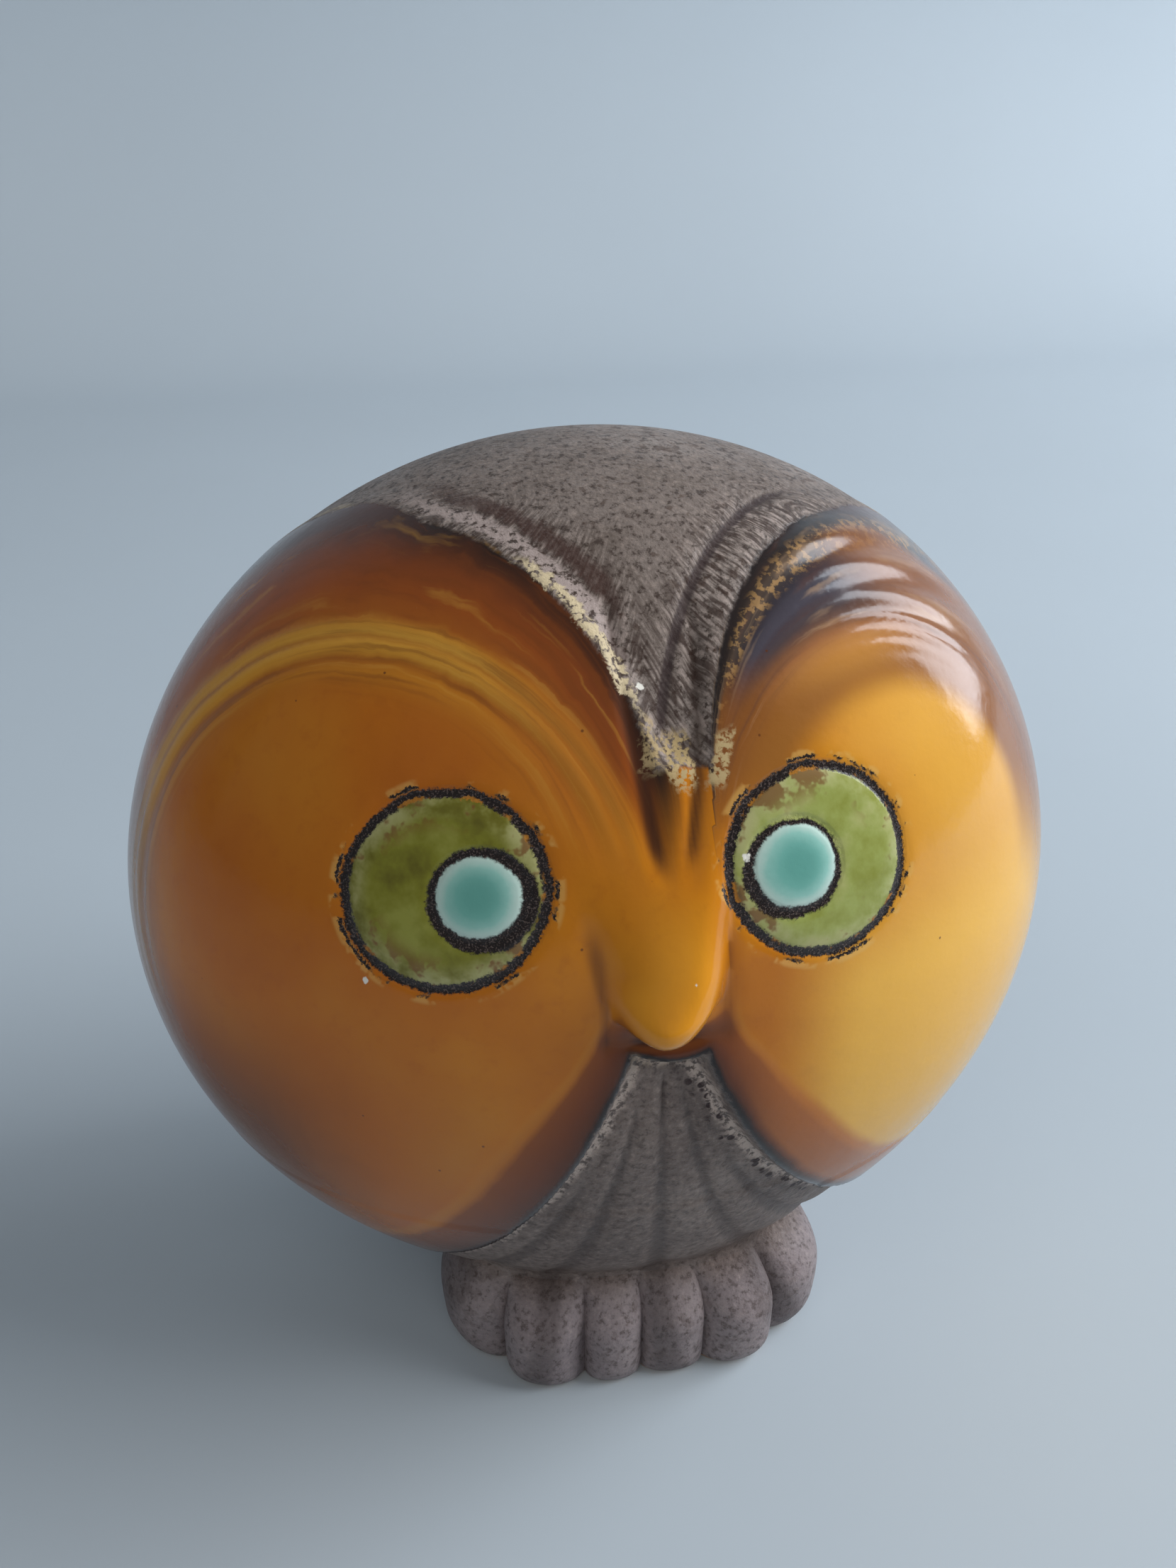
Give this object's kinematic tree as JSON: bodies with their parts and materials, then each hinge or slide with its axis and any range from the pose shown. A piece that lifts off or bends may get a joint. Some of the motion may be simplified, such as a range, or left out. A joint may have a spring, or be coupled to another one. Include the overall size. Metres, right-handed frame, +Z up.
{
  "type": "figural animal coin bank",
  "caption": "Round glazed ceramic owl money box on a small toed foot, with a coin slot behind the head and a key-locked metal trap in the base.",
  "frame": {"origin": "middle of the flat face that the foot stands on", "axes": "+Z up, -Y the way the owl faces, +X to the owl's left"},
  "size_m": [0.124, 0.1066, 0.1265],
  "materials": {
    "glazed_clay": "glossy honey and brown glaze on the face, satin grey-brown glaze on head, chest and feet, bare clay under the foot and inside",
    "plated_sheet": "worn nickel-plated pressed steel sheet",
    "zinc_sheet": "zinc-plated stamped steel sheet",
    "rivet_steel": "plain steel rivets",
    "turned_steel": "bright plain steel with light rub marks",
    "spring_steel": "blued spring steel",
    "cam_brass": "plain turned brass"
  },
  "bodies": {
    "owl": {"owl_shell": "glazed_clay"},
    "trap": {"trap_plate": "plated_sheet", "lock_case": "zinc_sheet", "case_rivets": "rivet_steel", "key_post": "turned_steel", "cam_clip": "spring_steel", "front_guide": "zinc_sheet", "rear_guide": "zinc_sheet", "detent_spring": "spring_steel", "spring_rivet": "rivet_steel"},
    "cam": {"key_cam": "cam_brass"},
    "bolt": {"lock_bolt": "turned_steel"}
  },
  "joints": [
    {"name": "trap_swing", "type": "hinge", "parent": "owl", "child": "trap", "pos_m": [0, 0.0179, 0.00155], "axis": [1, 0, 0], "range_deg": [0, 70]},
    {"name": "key_turn", "type": "hinge", "parent": "trap", "child": "cam", "pos_m": [0, 0, 0.007], "axis": [0, 0, -1], "range_deg": [0, 80]},
    {"name": "bolt_slide", "type": "slide", "parent": "trap", "child": "bolt", "axis": [0, -1, 0], "range_m": [0, 0.00411]}
  ],
  "couplings": [
    {"joint": "key_turn", "follows": "bolt_slide", "rad_per_m": 339.44}
  ]
}
